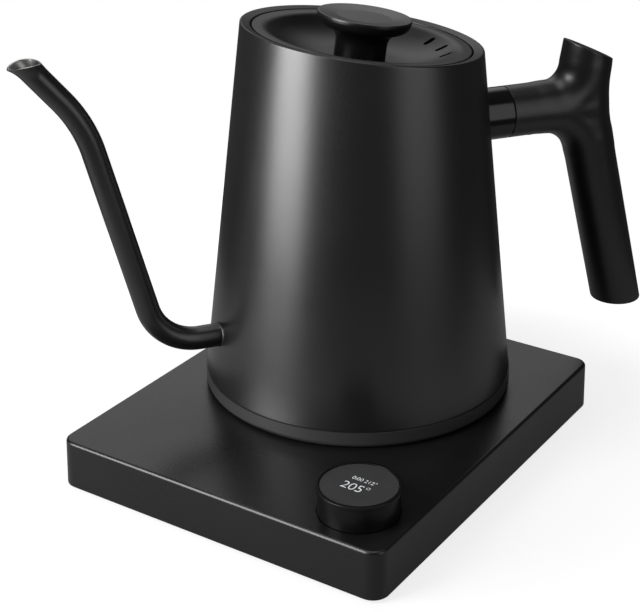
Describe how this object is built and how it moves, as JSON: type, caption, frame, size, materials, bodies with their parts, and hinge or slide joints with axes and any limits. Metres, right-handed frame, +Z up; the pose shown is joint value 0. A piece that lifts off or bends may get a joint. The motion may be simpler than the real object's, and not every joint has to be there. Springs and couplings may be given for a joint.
{
  "type": "gooseneck kettle with heating base",
  "caption": "Gooseneck kettle with a lift-off lid and a side handle, standing on a flat heating base with a push-and-turn dial that holds a round display.",
  "frame": {"origin": "centre of the base's rectangular footprint, on the surface that its feet stand on", "axes": "+X along the base's front edge towards the dial, +Y from the front edge to the cord inlet at the back, +Z up"},
  "size_m": [0.1797, 0.2453, 0.1943],
  "materials": {
    "base_satin": "fine satin texture",
    "black_plastic": "matte",
    "connector_plastic": "smooth",
    "rubber_black": "matte",
    "silicone": "matte",
    "screw_steel": "plated",
    "contact_brass": "polished",
    "circuit_board": "solder mask",
    "relay_blue": "smooth",
    "transformer_yellow": "taped winding",
    "lead_red": "insulation",
    "ribbon_grey": "insulation",
    "dial_black": "satin",
    "magnet_grey": "sintered",
    "display_glass": "tinted, satin front",
    "body_coat": "satin powder coat",
    "bare_steel": "brushed",
    "plate_aluminium": "as cast",
    "element_metal": "heat tinted",
    "ferrule_gloss": "gloss",
    "grip_matte": "soft matte",
    "lid_satin": "satin powder coat"
  },
  "bodies": {
    "base": {"base_cover": "base_satin", "base_floor": "base_satin", "base_feet": "rubber_black", "base_screws": "screw_steel", "connector_housing": "connector_plastic", "connector_nut": "black_plastic", "contact_rings": "contact_brass", "earth_pin": "contact_brass", "power_board": "circuit_board", "relay": "relay_blue", "transformer": "transformer_yellow", "buzzer": "black_plastic", "control_board": "circuit_board", "press_switch": "black_plastic", "encoder_board": "circuit_board", "dial_bush": "black_plastic", "board_screws": "screw_steel", "cord_gland": "rubber_black", "mains_leads": "lead_red", "ribbon_cable": "ribbon_grey"},
    "dial_carrier": {"dial_carrier": "black_plastic", "display_glass": "display_glass", "display_module": "circuit_board", "dial_spring": "screw_steel"},
    "dial": {"dial_ring": "dial_black", "magnet_ring": "magnet_grey"},
    "kettle_socket": {"kettle_socket": "black_plastic", "socket_contacts": "contact_brass"},
    "kettle": {"kettle_body": "body_coat", "rim_collar": "body_coat", "kettle_floor": "bare_steel", "heat_plate": "plate_aluminium", "heating_element": "element_metal", "heater_leads": "lead_red", "thermal_cutouts": "bare_steel", "temperature_probe": "bare_steel", "probe_seal": "silicone", "socket_retainer": "black_plastic", "retainer_screws": "screw_steel", "foot_ring": "black_plastic", "foot_screws": "screw_steel", "spout_tube": "body_coat", "handle_bracket": "bare_steel", "handle_ferrule": "ferrule_gloss", "handle_grip": "grip_matte", "handle_screw": "screw_steel"},
    "lid_gasket": {"lid_gasket": "silicone"},
    "lid": {"lid_shell": "lid_satin", "lid_plate": "bare_steel", "lid_knob": "lid_satin", "knob_cap": "lid_satin", "lid_screw": "screw_steel"}
  },
  "joints": [
    {"name": "kettle_lift", "type": "slide", "parent": "base", "child": "kettle_socket", "axis": [0, 0, 1], "range_m": [0, 0.12]},
    {"name": "kettle_turn", "type": "hinge", "parent": "kettle_socket", "child": "kettle", "pos_m": [-0.0056, 0.026, 0.0231], "axis": [0, 0, 1], "continuous": true},
    {"name": "lid_lift", "type": "slide", "parent": "kettle", "child": "lid_gasket", "axis": [0.0775, 0.1087, 0.9911], "range_m": [0, 0.06]},
    {"name": "lid_turn", "type": "hinge", "parent": "lid_gasket", "child": "lid", "pos_m": [-0.00515, 0.02663, 0.1834], "axis": [0.0775, 0.1087, 0.9911], "continuous": true},
    {"name": "dial_press", "type": "slide", "parent": "base", "child": "dial_carrier", "axis": [0, 0, -1], "range_m": [0, 0.0008], "stiffness_N_per_m": 1200, "springref_m": -0.0012, "deforming": ["dial_spring"]},
    {"name": "dial_turn", "type": "hinge", "parent": "dial_carrier", "child": "dial", "pos_m": [0.0566, -0.0725, 0.03], "axis": [0, 0, 1], "continuous": true}
  ]
}
